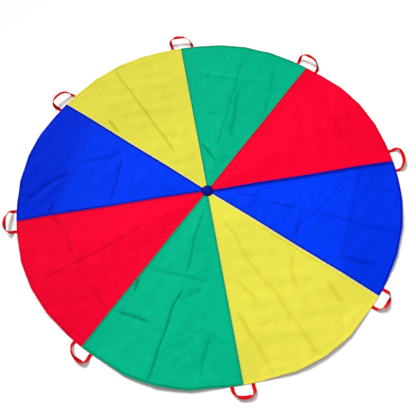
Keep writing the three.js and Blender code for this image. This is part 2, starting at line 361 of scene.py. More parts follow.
def on_gore(index, along, across, height):
    """Points of a gore in the canopy: its along and across distances turned to its own middle line."""
    middle = (index + 0.5) * gore_angle
    x = along * math.cos(middle) - across * math.sin(middle)
    y = along * math.sin(middle) + across * math.cos(middle)
    return np.stack([x, y, height], axis=-1)


def half_thickness(row):
    """Half the thickness of the cloth: thicker from the start of the hem, and rounded off at the rim as a
    quarter ellipse that stops just short of its end."""
    into_hem = soft_ramp(row, hem_start, hem_start + hem_step)
    half = (cloth_thickness + (hem_thickness - cloth_thickness) * into_hem) / 2
    rounding = np.clip((row - canopy_radius + hem_thickness / 2) / (hem_thickness / 2), 0.0, rim_rounding)
    return half * np.sqrt(1.0 - rounding**2)


def strip_faces(rows, columns):
    """Quads of a closed strip whose rows go once round: over the top from the first column to the last and
    back underneath. Both ends are closed with quads from the top to the underside."""
    ring = 2 * columns
    row, column = np.meshgrid(np.arange(rows - 1), np.arange(ring), indexing="ij")
    onward = (column + 1) % ring
    quads = [row * ring + column, (row + 1) * ring + column, (row + 1) * ring + onward, row * ring + onward]
    walls = np.stack(quads, axis=-1).reshape(-1, 4)
    top = np.arange(columns - 1)
    under = ring - 1 - top
    first = np.stack([top, top + 1, under - 1, under], axis=-1)
    last = first[:, ::-1] + (rows - 1) * ring
    return np.concatenate([walls, first, last])


def add_piece(name, points, faces, material, flat=None, marks=None):
    """A mesh piece at the origin from points and arrays of faces, with smooth shading, the given place of
    each point on the flat cloth as its UV map, and marks as point attributes."""
    mesh = bpy.data.meshes.new(name)
    points = points.reshape(-1, 3)
    mesh.vertices.add(len(points))
    mesh.vertices.foreach_set("co", points.astype(np.float32).ravel())
    corners = np.concatenate([array.ravel() for array in faces])
    sizes = np.concatenate([np.full(len(array), array.shape[1]) for array in faces])
    mesh.loops.add(len(corners))
    mesh.loops.foreach_set("vertex_index", corners.astype(np.int32))
    mesh.polygons.add(len(sizes))
    mesh.polygons.foreach_set("loop_start", (np.cumsum(sizes) - sizes).astype(np.int32))
    mesh.polygons.foreach_set("use_smooth", np.ones(len(sizes), dtype=bool))
    mesh.update(calc_edges=True)
    if flat is not None:
        layer = mesh.uv_layers.new(name="cloth")
        layer.data.foreach_set("uv", flat.reshape(-1, 2)[corners].astype(np.float32).ravel())
    for mark, values in (marks or {}).items():
        attribute = mesh.attributes.new(mark, "FLOAT", "POINT")
        attribute.data.foreach_set("value", values.astype(np.float32).ravel())
    mesh.materials.append(material)
    piece = bpy.data.objects.new(name, mesh)
    bpy.context.scene.collection.objects.link(piece)
    return piece


def closed_strip(name, upper, lower, material, flat=None, marks=None):
    """A piece of cloth with a top and an underside, each rows by columns of points, closed all round."""
    sharp_angle = math.radians(60)
    points = np.concatenate([upper, lower[:, ::-1]], axis=1)
    if flat is not None:
        flat = np.concatenate([flat, flat[:, ::-1]], axis=1)
    marks = {k: np.concatenate([v, v[:, ::-1]], axis=1) for k, v in (marks or {}).items()}
    faces = strip_faces(upper.shape[0], upper.shape[1])
    piece = add_piece(name, points, [faces], material, flat, marks)
    piece.data.set_sharp_from_angle(angle=sharp_angle)
    return piece


def linear(red, green, blue):
    """A colour written as 0 to 255 on the screen, as the linear light that a shader takes."""
    screen = np.array([red, green, blue]) / 255.0
    light = np.where(screen <= 0.04045, screen / 12.92, ((screen + 0.055) / 1.055) ** 2.4)
    return (*(float(part) for part in light), 1.0)


def new_material(name, roughness, specular, sheen=0.0, sheen_colour=None):
    """A material with one Principled shader, and the values that are the same all over it."""
    material = bpy.data.materials.new(name)
    material.use_nodes = True
    shader = material.node_tree.nodes["Principled BSDF"]
    shader.inputs["Roughness"].default_value = roughness
    shader.inputs["Specular IOR Level"].default_value = specular
    shader.inputs["Sheen Weight"].default_value = sheen
    if sheen_colour is not None:
        shader.inputs["Sheen Tint"].default_value = sheen_colour
    return material, material.node_tree, shader


def add_node(tree, kind, settings=None, **sockets):
    """A node with its settings, and its input sockets set to a value or linked from another socket. Socket
    names are written with underscores for spaces, and numbered sockets as in_0, in_1 and so on."""
    made = tree.nodes.new(kind)
    for key, value in (settings or {}).items():
        setattr(made, key, value)
    for key, value in sockets.items():
        socket = made.inputs[int(key[3:])] if key.startswith("in_") else made.inputs[key.replace("_", " ")]
        if isinstance(value, bpy.types.NodeSocket):
            tree.links.new(value, socket)
        else:
            socket.default_value = value
    return made


def calculate(tree, operation, first, second=0.0, third=0.0):
    """The result of one sum on two or three values or sockets."""
    made = add_node(tree, "ShaderNodeMath", {"operation": operation}, in_0=first, in_1=second, in_2=third)
    return made.outputs[0]


def tone_ramp(tree, factor, deep, plain, pale):
    """A colour from deep at 0, through plain at one half, to pale at 1."""
    made = add_node(tree, "ShaderNodeValToRGB", in_0=factor)
    stops = made.color_ramp.elements
    stops[0].color = deep
    stops[1].position = 0.5
    stops[1].color = plain
    stops.new(1.0).color = pale
    return made.outputs[0]


def bands(tree, place, direction, length):
    """A wave of 0 to 1 that repeats after a length, across the cloth (X) or along it (Y)."""
    repeat_at_scale_one = 2 * math.pi / 20
    settings = {"bands_direction": direction, "wave_profile": "SIN"}
    made = add_node(tree, "ShaderNodeTexWave", settings, Vector=place, Scale=repeat_at_scale_one / length)
    return made.outputs["Factor" if "Factor" in made.outputs else "Fac"]


def noise(tree, place, scale, detail=2.0):
    """Smooth noise of about 0 to 1, with this many features in a metre."""
    made = add_node(tree, "ShaderNodeTexNoise", Vector=place, Scale=scale, Detail=detail)
    return made.outputs["Factor" if "Factor" in made.outputs else "Fac"]


def mixed(tree, factor, first, second):
    """A colour that goes from the first to the second as the factor goes from 0 to 1."""
    made = add_node(tree, "ShaderNodeMix", {"data_type": "RGBA"}, in_0=factor, in_6=first, in_7=second)
    return made.outputs[2]


def place_on_cloth(tree):
    """Where a point lies on the flat cloth: across it and along it, in metres."""
    return add_node(tree, "ShaderNodeUVMap", {"uv_map": "cloth"}).outputs[0]


def across_cloth(tree, place):
    """How far across the cloth a place lies, from its middle line."""
    return add_node(tree, "ShaderNodeSeparateXYZ", in_0=place).outputs[0]


def mark_on_cloth(tree, mark):
    """The value of a mark that the mesh carries at its points."""
    return add_node(tree, "ShaderNodeAttribute", {"attribute_name": mark}).outputs["Fac"]


def plain_weave(tree, place, pitch):
    """The hills of a plain weave, 0 to 1: the wave across the cloth times the wave along it."""
    return calculate(tree, "MULTIPLY", bands(tree, place, "X", pitch), bands(tree, place, "Y", pitch))


def emboss(tree, shader, height, strength, distance):
    """Lets a pattern tilt the light on a surface, as hills of this height in metres."""
    bump = add_node(tree, "ShaderNodeBump", Height=height, Strength=strength, Distance=distance)
    tree.links.new(bump.outputs[0], shader.inputs["Normal"])


def taffeta(name, deep, plain, pale, hem_tone, side_light_and_shade):
    """Taffeta of one colour: a fine plain weave, slubs along the warp, a faint mottle, painted shade along
    the grooves of the creases and painted light along low ridges, the tone of its layers in the hem with
    painted shade that darkens the cloth towards the rim, and painted shade beside the two seams, on yellow a
    painted highlight."""
    material, tree, shader = new_material(name, roughness=0.6, specular=0.015, sheen=0.02, sheen_colour=plain)
    place = place_on_cloth(tree)
    warp_stretch = (60.0, 1.0, 1.0)
    along_warp = add_node(tree, "ShaderNodeMapping", Vector=place, Scale=warp_stretch).outputs[0]
    mottle = noise(tree, place, 22.0, 3.0)
    slubs = noise(tree, along_warp, 9.0)
    even_tone = 0.31
    tone = calculate(tree, "MULTIPLY_ADD", mottle, 0.22, even_tone)
    tone = calculate(tree, "MULTIPLY_ADD", slubs, 0.16, tone)
    # Painted shade along the crease grooves, and painted light along low ridges.
    tone = calculate(tree, "MULTIPLY_ADD", mark_on_cloth(tree, "painted_crease_shade"), -0.36, tone)
    colour = tone_ramp(tree, tone, deep, plain, pale)
    # The hem's own tone, and painted shade that darkens the cloth towards the rim.
    colour = mixed(tree, mark_on_cloth(tree, "in_hem"), colour, hem_tone)
    second_side = calculate(tree, "GREATER_THAN", across_cloth(tree, place), 0.0)
    # Painted shade beside the seams, and on yellow a painted highlight.
    colour = mixed(tree, mark_on_cloth(tree, "at_seam"), colour, mixed(tree, second_side, *side_light_and_shade))
    tree.links.new(colour, shader.inputs["Base Color"])
    rough = calculate(tree, "MULTIPLY_ADD", noise(tree, place, 60.0), 0.2, 0.5)
    tree.links.new(rough, shader.inputs["Roughness"])
    weave = plain_weave(tree, place, weave_pitch)
    weave = calculate(tree, "MULTIPLY_ADD", noise(tree, along_warp, 40.0), 0.6, weave)
    emboss(tree, shader, weave, strength=0.12, distance=0.0002)
    return material


# The deep, plain and pale tones of each cloth, and its tone in the hem.
cloth_tones = {
    "red": (linear(176, 0, 34), linear(253, 2, 50), linear(255, 14, 60)),
    "green": (linear(0, 134, 96), linear(2, 185, 139), linear(6, 198, 152)),
    "yellow": (linear(198, 184, 8), linear(232, 226, 76), linear(240, 236, 100)),
    "blue": (linear(0, 34, 176), linear(2, 60, 250), linear(8, 74, 255)),
}
hem_tones = {
    "red": linear(226, 0, 42),
    "green": linear(0, 156, 112),
    "yellow": linear(239, 227, 80),
    "blue": linear(0, 26, 196),
}
# Painted shade beside the seams, wider on the side away from the key light where the ridge would cast its
# shadow, and on yellow a painted highlight: the tones on the clockwise and the anticlockwise side of each
# colour, how far they reach into each gore, and how strong they are.
seam_light_and_shade = {
    "red": (linear(180, 0, 56), linear(164, 4, 38)),
    "green": (linear(4, 136, 102), linear(4, 144, 98)),
    "yellow": (linear(222, 224, 92), linear(238, 237, 168)),
    "blue": (linear(4, 10, 132), linear(8, 4, 130)),
}
seam_shades = {
    "red_1": (0.004, 0.006),
    "green_1": (0.005, 0.008),
    "yellow_1": (0.005, 0.005),
    "blue_1": (0.010, 0.010),
    "red_2": (0.006, 0.005),
    "green_2": (0.007, 0.009),
    "yellow_2": (0.006, 0.006),
    "blue_2": (0.009, 0.017),
}
seam_shade_strength = 0.9
# Painted shade towards the rim: how far the colour of each gore goes over to the tone of its hem, half of it
# slowly on the way to the rim, and half at the outermost fold.
rim_shades = {
    "red_1": 0.0,
    "green_1": 0.0,
    "yellow_1": 0.1,
    "blue_1": 0.55,
    "red_2": 0.2,
    "green_2": 0.0,
    "yellow_2": 0.1,
    "blue_2": 0.35,
}
rim_shade_rows = (0.35, 0.85)
fold_shade_rows = (0.645, 0.685)
hem_tone_rows = (hem_start, hem_start + 0.001)
cloths = {
    colour: taffeta(f"{colour}_taffeta", *tones, hem_tones[colour], seam_light_and_shade[colour])
    for colour, tones in cloth_tones.items()
}

# The grid of a gore: its columns, then its rows from fold to fold, and close ones in the hem.
gore_columns = 161
hem_rows = canopy_radius - np.array([11.4, 10.6, 9.5, 8.0, 6.0, 4.0, 2.2, 1.2, 0.75, 0.45, 0.2, 0.05]) / 1000
panel_starts = [gore_point, *fold_places[:-1]]
panel_rows = [8, 51, 61, 61, 58]
panels = [np.linspace(a, b, n, endpoint=False) for a, b, n in zip(panel_starts, fold_places, panel_rows)]
rows = np.concatenate([*panels, [hem_start], hem_rows])


def follow_lift(piece):
    """Bakes where a piece of the canopy stands into its points."""
    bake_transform(piece)


for index, name in enumerate(gore_names):
    colour = gore_colours[index]
    row, share = np.meshgrid(rows, np.linspace(-1.0, 1.0, gore_columns), indexing="ij")
    along, across = gore_place(index, row, share * (1.0 - gore_gap / 2 / (row * half_gore)))
    # Besides the height: painted shade along the crease grooves, and painted light along low ridges.
    height, painted_crease_shade = cloth_height(index, row, share)
    half = half_thickness(row)
    folded = soft_ramp(row, *hem_tone_rows)
    # The hem has its own tone; towards the rim and past the outermost fold the cloth goes over to it as
    # painted shade.
    rim_shade = (soft_ramp(row, *rim_shade_rows) + soft_ramp(row, *fold_shade_rows)) / 2
    in_hem = np.maximum(folded, rim_shades[name] * rim_shade)
    # Painted shade beside each seam, and on yellow a painted highlight, fading with the distance from it.
    shade_width = np.where(share < 0, *seam_shades[name])
    from_seam = (1.0 - np.abs(share)) * half_gore * row
    at_seam = seam_shade_strength * (1.0 - folded) * np.exp(-((from_seam / shade_width) ** 3))
    gore = closed_strip(
        f"gore_{name}",
        on_gore(index, along, across, height + half),
        on_gore(index, along, across, height - half),
        cloths[colour],
        flat=np.stack([across, along], axis=-1),
        marks={"painted_crease_shade": painted_crease_shade, "in_hem": in_hem, "at_seam": at_seam},
    )
    follow_lift(gore)
    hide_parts(f"gore_{name}")

# Hem stitching
# One row of lock stitch in thread of the gore's own colour, close to the inner edge of the hem. It goes
# through the turned layers and holds them down flat.

stitch_length = 0.0030
stitch_pitch = 0.0040
stitch_width = 0.0007
stitch_rise = 0.0001
hem_stitch_inset = 0.0095
hem_stitch_share = 0.99


def stitch_shape(length, width):
    """The points of one stitch: five square rings of thread along X, that swell in the middle and dip at
    both ends, where the thread goes into the cloth."""
    along = np.array([-1.0, -0.7, 0.0, 0.7, 1.0])
    girth = np.array([0.45, 0.9, 1.0, 0.9, 0.45])
    dip = 0.6 * along**2
    ring = np.array([[0.5, 0.0], [0.0, 0.5], [-0.5, 0.0], [0.0, -0.5]])
    shape = np.zeros((5, 4, 3))
    shape[..., 0] = along[:, None] * length / 2
    shape[..., 1] = girth[:, None] * ring[:, 0] * width
    shape[..., 2] = girth[:, None] * ring[:, 1] * width - dip[:, None] * width
    return shape.reshape(-1, 3)


def stitch_faces():
    """Quads of one stitch: four walls between each two rings, and a square at both ends."""
    first, side = np.meshgrid(np.arange(0, 16, 4), np.arange(4), indexing="ij")
    onward = (side + 1) % 4
    walls = np.stack([first + onward, first + 4 + onward, first + 4 + side, first + side], axis=-1)
    ends = np.array([[3, 2, 1, 0], [16, 17, 18, 19]])
    return np.concatenate([walls.reshape(-1, 4), ends])


def on_top(index, row, share):
    """Where the middle of a thread lies on a gore: just above the top of the cloth."""
    along, across = gore_place(index, row, share)
    height, _ = cloth_height(index, row, share)
    return on_gore(index, along, across, height + half_thickness(row) + stitch_rise)


def add_stitches(name, starts, ends, material, length=stitch_length, width=stitch_width):
    """A row of stitches as one piece: the shape of one stitch carried to the middle between each start and
    end, and turned to the direction of its thread, with its back upwards."""
    centres = (starts + ends) / 2
    forward = (ends - starts) / np.linalg.norm(ends - starts, axis=-1, keepdims=True)
    sideways = np.cross([0.0, 0.0, 1.0], forward)
    sideways = sideways / np.linalg.norm(sideways, axis=-1, keepdims=True)
    upward = np.cross(forward, sideways)
    axes = np.stack([forward, sideways, upward], axis=1)
    shape = stitch_shape(length, width)
    points = centres[:, None, :] + np.einsum("pk,nkx->npx", shape, axes)
    faces = stitch_faces()[None] + (np.arange(len(centres)) * len(shape))[:, None, None]
    return add_piece(name, points, [faces.reshape(-1, 4)], material)


def thread(name, dark, plain, light):
    """Spun thread: a twist that darkens and lightens along it, and a rough surface."""
    material, tree, shader = new_material(name, roughness=0.7, specular=0.02)
    place = add_node(tree, "ShaderNodeTexCoord").outputs["Object"]
    twist = noise(tree, place, 1500.0, 1.0)
    tree.links.new(tone_ramp(tree, twist, dark, plain, light), shader.inputs["Base Color"])
    emboss(tree, shader, twist, strength=0.3, distance=0.0001)
    return material


threads = {colour: thread(f"{colour}_thread", *tones) for colour, tones in cloth_tones.items()}

stitch_row = canopy_radius - hem_stitch_inset
hem_stitches = int(stitch_row * gore_angle / stitch_pitch) - 2
hem_shares = (2 * (np.arange(hem_stitches) + 0.5) / hem_stitches - 1) * hem_stitch_share
half_stitch = stitch_length / 2 / (stitch_row * half_gore)

for index, name in enumerate(gore_names):
    colour = gore_colours[index]
    row = np.full(hem_stitches, stitch_row)
    starts = on_top(index, row, hem_shares - half_stitch)
    ends = on_top(index, row, hem_shares + half_stitch)
    hem = add_stitches(f"hem_stitching_{name}", starts, ends, threads[colour])
    follow_lift(hem)

# Seams
# Each seam is felled: the two edges are folded into one another and sewn down flat with two rows of
# stitching, which leaves a slim ridge on the canopy from the cap to the hem.

seam_width = 0.007
seam_height = 0.0009
seam_underside = 0.0003
seam_row_offset = 0.0021
seam_groove_width = 0.0004
seam_groove_depth = 0.00015
seam_start = 0.0300
seam_hem_gap = 0.0003
seam_points = 420
seam_columns = 15
seam_stitch_start = 0.003
seam_stitch_spare = 0.004


def seam_profile(across_share):
    """Height of the ridge over the cloth: the square root of one less the fifth power of the share of its
    half width, less a shallow groove under each row of stitching, which is a bell curve."""
    body = np.sqrt(np.clip(1.0 - np.abs(across_share) ** 5, 0.0, 1.0))
    from_row = np.abs(across_share) * seam_width / 2 - seam_row_offset
    return seam_height * body - seam_groove_depth * np.exp(-((from_row / seam_groove_width) ** 2))


def seam_belly(across_share):
    """Depth of the ridge under the cloth: the square root of one less most of the fourth power of the share
    of its half width, so that a thin edge is left."""
    return seam_underside * np.sqrt(1.0 - 0.96 * across_share**4)


def seam_cloth(name, clockwise, anticlockwise):
    """The cloth of a seam: one gore's colour on one half of the ridge and its neighbour's on the other, in
    tones of painted shade, and on yellow of painted highlight, faded a little towards the plain colour."""
    material, tree, shader = new_material(name, roughness=0.6, specular=0.015)
    place = place_on_cloth(tree)
    fade = calculate(tree, "MULTIPLY", noise(tree, place, 300.0), 0.3)
    first = mixed(tree, fade, seam_light_and_shade[clockwise][1], cloth_tones[clockwise][1])
    second = mixed(tree, fade, seam_light_and_shade[anticlockwise][0], cloth_tones[anticlockwise][1])
    second_side = calculate(tree, "GREATER_THAN", across_cloth(tree, place), 0.0)
    tree.links.new(mixed(tree, second_side, first, second), shader.inputs["Base Color"])
    emboss(tree, shader, plain_weave(tree, place, weave_pitch), strength=0.15, distance=0.0002)
    return material


for index in range(len(gore_names)):
    colour = gore_colours[index]
    neighbour = gore_colours[index - 1]
    direction = index * gore_angle
    outward = np.array([math.cos(direction), math.sin(direction), 0.0])
    sideways = np.array([-math.sin(direction), math.cos(direction), 0.0])
    upward = np.array([0.0, 0.0, 1.0])
    row = np.linspace(seam_start, hem_start - seam_hem_gap, seam_points)
    edge = np.full_like(row, -1.0)
    radius = np.hypot(*gore_place(index, row, edge))
    height, _ = cloth_height(index, row, edge)
    share = np.sin(np.linspace(-math.pi / 2, math.pi / 2, seam_columns))
    middle = radius[:, None, None] * outward + share[None, :, None] * sideways * seam_width / 2
    top = height[:, None] + cloth_thickness / 2 + seam_profile(share)[None, :]
    under = height[:, None] - cloth_thickness / 2 - seam_belly(share)[None, :]
    seam = closed_strip(
        f"seam_{index + 1}",
        middle + top[..., None] * upward,
        middle + under[..., None] * upward,
        seam_cloth(f"seam_cloth_{index + 1}", neighbour, colour),
        flat=np.stack(np.broadcast_arrays(share[None, :] * seam_width / 2, radius[:, None]), axis=-1),
    )
    follow_lift(seam)
    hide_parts(f"seam_{index + 1}")

    count = int((radius[-1] - radius[0] - seam_stitch_spare) / stitch_pitch)
    stitched = radius[0] + seam_stitch_start + stitch_pitch * np.arange(count)
    groove = seam_profile(np.array(2 * seam_row_offset / seam_width))
    for hand, label, side_colour in ((-1, "clockwise", neighbour), (1, "anticlockwise", colour)):
        ends = []
        for way in (-1, 1):
            reach = stitched + way * stitch_length / 2
            level = np.interp(reach, radius, height) + cloth_thickness / 2 + groove + stitch_rise
            beside = hand * seam_row_offset * sideways
            ends.append(reach[:, None] * outward + beside + level[:, None] * upward)
        stitching = add_stitches(f"seam_{index + 1}_stitching_{label}", *ends, threads[side_colour])
        follow_lift(stitching)

# Cap
# A padded navy disc covers the points of the gores, with a plain navy disc under them. One ring of
# stitching near the edge goes through both and draws the top into small puckers.

cap_radius = 0.029
cap_edge = 0.0012
cap_rounding = 0.0016
cap_crown = 0.0040
cap_ring_radius = 0.0235
cap_groove_width = 0.0030
cap_groove_depth = 0.0007
cap_margin = 0.0008
cap_puckers = 26
cap_base = 0.00225
cap_shade = (0.0170, 0.0270)
cap_weave_pitch = 0.0010
cap_disc_thickness = 0.0008
cap_disc_rounding = 0.0002
cap_step = 0.001
cap_undercut = 0.0002
cap_fine_start = 0.026
cap_fine_step = 0.0003
cap_around = 208


def cap_top_height(radius, angle):
    """Height of the cap over the cloth: its edge, plus a margin that swells outside the stitching, both
    rounded off at the rim, plus a dome (one less the square of the share of the ring's radius, to the power
    1.4), less a groove along the stitching with puckers across it."""
    share = np.clip(radius / cap_ring_radius, 0.0, 1.0)
    dome = cap_crown * (1.0 - share**2) ** 1.4
    pucker = 0.5 + 0.5 * np.cos(cap_puckers * angle)
    margin = cap_margin * soft_ramp(radius, cap_ring_radius, cap_ring_radius + cap_groove_width)
    rounding = 0.25 + 0.75 * soft_ramp(radius, cap_radius, cap_radius - cap_rounding)
    groove = cap_groove_depth * np.exp(-(((radius - cap_ring_radius) / cap_groove_width) ** 2))
    return (cap_edge + margin * (0.6 + 0.4 * pucker)) * rounding + dome - groove * pucker


def disc_faces(rings, around):
    """Faces of a closed disc made of rings from the top's middle, over the edge, to the underside's middle:
    quads between rings, and triangles to a point at both ends. The two points come last."""
    ring, place = np.meshgrid(np.arange(rings - 1), np.arange(around), indexing="ij")
    onward = (place + 1) % around
    quads = [ring * around + place, (ring + 1) * around + place]
    quads += [(ring + 1) * around + onward, ring * around + onward]
    place = np.arange(around)
    onward = (place + 1) % around
    start = rings * around
    last = (rings - 1) * around
    top = np.stack([np.full(around, start), place, onward], axis=-1)
    bottom = np.stack([np.full(around, start + 1), last + onward, last + place], axis=-1)
    return [np.stack(quads, axis=-1).reshape(-1, 4), np.concatenate([top, bottom])]


def add_disc(name, radii, heights, middle_heights, material):
    """A closed round piece from the radius of each ring and its height at each angle."""
    angle = np.arange(cap_around) / cap_around * 2 * math.pi
    ring_points = np.stack(
        np.broadcast_arrays(radii[:, None] * np.cos(angle), radii[:, None] * np.sin(angle), heights), axis=-1
    )
    middles = np.array([[0.0, 0.0, middle_heights[0]], [0.0, 0.0, middle_heights[1]]])
    points = np.concatenate([ring_points.reshape(-1, 3), middles])
    return add_piece(name, points, disc_faces(len(radii), cap_around), material, flat=points[:, :2])


def soft_step(tree, value, start, end):
    """The soft ramp of a value, as a node: 0 before the start, 1 past the end and an S curve between."""
    settings = {"interpolation_type": "SMOOTHSTEP"}
    made = add_node(tree, "ShaderNodeMapRange", settings, Value=value, From_Min=start, From_Max=end)
    return made.outputs[0]


def cap_cloth(name, deep, plain, pale):
    """Navy cloth: a plain weave, a faint mottle, and painted shade that darkens it round the edge."""
    material, tree, shader = new_material(name, roughness=0.65, specular=0.03, sheen=0.03, sheen_colour=plain)
    place = place_on_cloth(tree)
    reach = add_node(tree, "ShaderNodeVectorMath", {"operation": "LENGTH"}, in_0=place).outputs["Value"]
    mottle = noise(tree, place, 180.0, 3.0)
    tone = calculate(tree, "MULTIPLY_ADD", mottle, 0.5, 0.27)
    # Painted shade that darkens the cap towards its edge.
    tone = calculate(tree, "MULTIPLY_ADD", soft_step(tree, reach, *cap_shade), -0.5, tone)
    tree.links.new(tone_ramp(tree, tone, deep, plain, pale), shader.inputs["Base Color"])
    emboss(tree, shader, plain_weave(tree, place, cap_weave_pitch), strength=0.2, distance=0.0002)
    return material


navy = (linear(0, 2, 62), linear(8, 22, 142), linear(24, 40, 172))
navy_cloth = cap_cloth("navy_cloth", *navy)
navy_thread = thread("navy_thread", linear(26, 26, 150), linear(48, 44, 182), linear(84, 78, 208))

# The rings of the cap: wide ones over the dome, close ones over the rounded edge, and back underneath.
angle = np.arange(cap_around) / cap_around * 2 * math.pi
dome_radii = np.linspace(cap_step, cap_fine_start, 40)
edge_radii = np.linspace(cap_fine_start + cap_fine_step, cap_radius, 12)
inner_radii = np.linspace(cap_radius - cap_step, cap_step, 24)
top_radii = np.concatenate([dome_radii, edge_radii])
under_radii = np.concatenate([[cap_radius - cap_undercut], inner_radii])
top_heights = cap_base + cap_top_height(top_radii[:, None], angle[None, :])
under_heights = np.full((len(under_radii), cap_around), cap_base)
crown = cap_base + float(cap_top_height(np.array(0.0), np.array(0.0)))
cap = add_disc(
    "cap_top",
    np.concatenate([top_radii, under_radii]),
    np.concatenate([top_heights, under_heights]),
    (crown, cap_base),
    navy_cloth,
)
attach(cap, "hub")
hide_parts("cap_top")

disc_flat = np.linspace(cap_step, cap_radius - 2 * cap_disc_rounding, 24)
disc_radii = np.concatenate([disc_flat, [cap_radius - cap_disc_rounding / 2, cap_radius]])
edge_drop = np.where(disc_radii > disc_flat[-1], cap_disc_rounding, 0.0)
disc_heights = np.concatenate([cap_disc_thickness - edge_drop, edge_drop[::-1]])
underside = add_disc(
    "cap_underside",
    np.concatenate([disc_radii, disc_radii[::-1]]),
    disc_heights[:, None],
    (cap_disc_thickness, 0.0),
    navy_cloth,
)
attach(underside, "hub")
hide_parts("cap_underside")

ring_stitch_length = 0.0052
ring_stitch_width = 0.0016
ring_stitch_rise = 0.0003
ring_stitch_chord = 0.0048
ring_angle = (np.arange(cap_puckers) + 0.5) / cap_puckers * 2 * math.pi
ring_level = cap_base + cap_top_height(np.full(cap_puckers, cap_ring_radius), ring_angle) + ring_stitch_rise
ring_ends = []
for way in (-1, 1):
    turned = ring_angle + way * ring_stitch_chord / 2 / cap_ring_radius
    x, y = cap_ring_radius * np.cos(turned), cap_ring_radius * np.sin(turned)
    ring_ends.append(np.stack([x, y, ring_level], axis=-1))
ring = add_stitches("cap_stitching", *ring_ends, navy_thread, ring_stitch_length, ring_stitch_width)
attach(ring, "hub")
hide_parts("cap_thread")

# Handles
# Each handle is one strip of flat red webbing. Its two ends are tucked flat under the hem, on both sides
# of a seam, and the loop between them stands off the floor and twists as it happened to fall.

# For each handle, anticlockwise: the span between its ends, the shift of their middle from the seam, the
# reach of the loop from its hinge, its rise, its lean along the rim, and its turns in degrees.
Handle = namedtuple("Handle", ["span", "shift", "reach", "rise", "lean", "turns"])
handles = [
    Handle(0.109, 0.002, 0.046, 0.018, 0.011, (-20, -2, 34, 52, 52)),
    Handle(0.109, 0.000, 0.042, 0.032, 0.011, (-28, 10, -10, -38, -46)),
    Handle(0.107, -0.009, 0.043, 0.029, 0.013, (-38, 14, -2, -48, -44)),
    Handle(0.106, -0.009, 0.046, 0.034, 0.011, (-56, -12, -2, -10, -34)),
    Handle(0.106, -0.001, 0.042, 0.034, 0.013, (74, 28, -22, -46, 12)),
    Handle(0.091, 0.007, 0.046, 0.015, 0.010, (50, -6, -50, -50, -62)),
    Handle(0.086, -0.005, 0.046, 0.011, 0.003, (74, 20, 10, 56, 64)),
    Handle(0.094, -0.010, 0.042, 0.012, -0.004, (-74, -30, 34, 70, 54)),
]
webbing_width = 0.016
webbing_thickness = 0.0015
webbing_edge = 0.00025
webbing_ribs = 6
webbing_columns = 37
rib_height = 0.00006
weft_pitch = 0.0016
selvedge = (0.0062, 0.0080)
tab_length = 0.024
tab_show = 0.0015
hinge_reach = 0.003
hinge_height = 0.0008
loop_rows = 150
tab_rows = 16

# The two sides of a loop, each from the hem to the far end, as shares of its reach, of half its span and
# of its rise; and the shares of the way along at which the webbing is flat or has one of its turns.
loop_sides = {
    1: [[0, 1, 0], [0.16, 1, 0.03], [0.6, 1, 0.4], [0.9, 0.76, 0.82], [1, 0.36, 1]],
    -1: [[0, 1, 0], [0.16, 1, 0.03], [0.38, 0.96, 0.28], [0.62, 0.84, 0.66], [0.88, 0.54, 0.95], [1, 0.2, 1]],
}
flat_shares = (0.0, 0.10)
turn_shares = (0.27, 0.42, 0.58, 0.74, 0.90)
floor_clearance = 0.0003


def smooth_path(points, count):
    """A curve through points, at count even steps of its length. Each span is a cubic whose end slopes come
    from its neighbours, weighed by the square roots of the distances between points."""
    points = np.vstack([2 * points[0] - points[1], points, 2 * points[-1] - points[-2]])
    before, start, end, after = points[:-3], points[1:-2], points[2:-1], points[3:]
    gap_a = np.sqrt(np.linalg.norm(start - before, axis=1))[:, None]
    gap_b = np.sqrt(np.linalg.norm(end - start, axis=1))[:, None]
    gap_c = np.sqrt(np.linalg.norm(after - end, axis=1))[:, None]
    slope_a = (start - before) / gap_a - (end - before) / (gap_a + gap_b) + (end - start) / gap_b
    slope_b = (end - start) / gap_b - (after - start) / (gap_b + gap_c) + (after - end) / gap_c
    slope_a, slope_b = slope_a * gap_b, slope_b * gap_b
    fine_steps = 40
    t = np.linspace(0.0, 1.0, fine_steps, endpoint=False)[None, :, None]
    cubic = start[:, None] + slope_a[:, None] * t
    cubic = cubic + (-3 * start + 3 * end - 2 * slope_a - slope_b)[:, None] * t**2
    cubic = cubic + (2 * start - 2 * end + slope_a + slope_b)[:, None] * t**3
    fine = np.vstack([cubic.reshape(-1, 3), points[-2]])
    length = np.concatenate([[0.0], np.cumsum(np.linalg.norm(np.diff(fine, axis=0), axis=1))])
    even = np.linspace(0.0, length[-1], count)
    return np.stack([np.interp(even, length, fine[:, k]) for k in range(3)], axis=-1)


def webbing_turn(turns, share, height):
    """How far the webbing turns about its own length at a share of the loop: an S curve from each turn to the
    next, flat at both ends, but no more than the angle whose sine is the room under the middle line over
    half the width, because the lower edge can't go through the floor."""
    shares = np.array([*flat_shares, *turn_shares, 1.0])
    stops = np.radians([0, 0, *turns, 0])
    after = np.clip(np.searchsorted(shares, share), 1, len(shares) - 1)
    eased = smoothstep((share - shares[after - 1]) / (shares[after] - shares[after - 1]))
    wanted = stops[after - 1] + (stops[after] - stops[after - 1]) * eased
    room = height - webbing_thickness / 2 - floor_clearance
    allowed = np.arcsin(np.clip(room / (webbing_width / 2), 0.0, 1.0))
    return np.clip(wanted, -allowed, allowed)


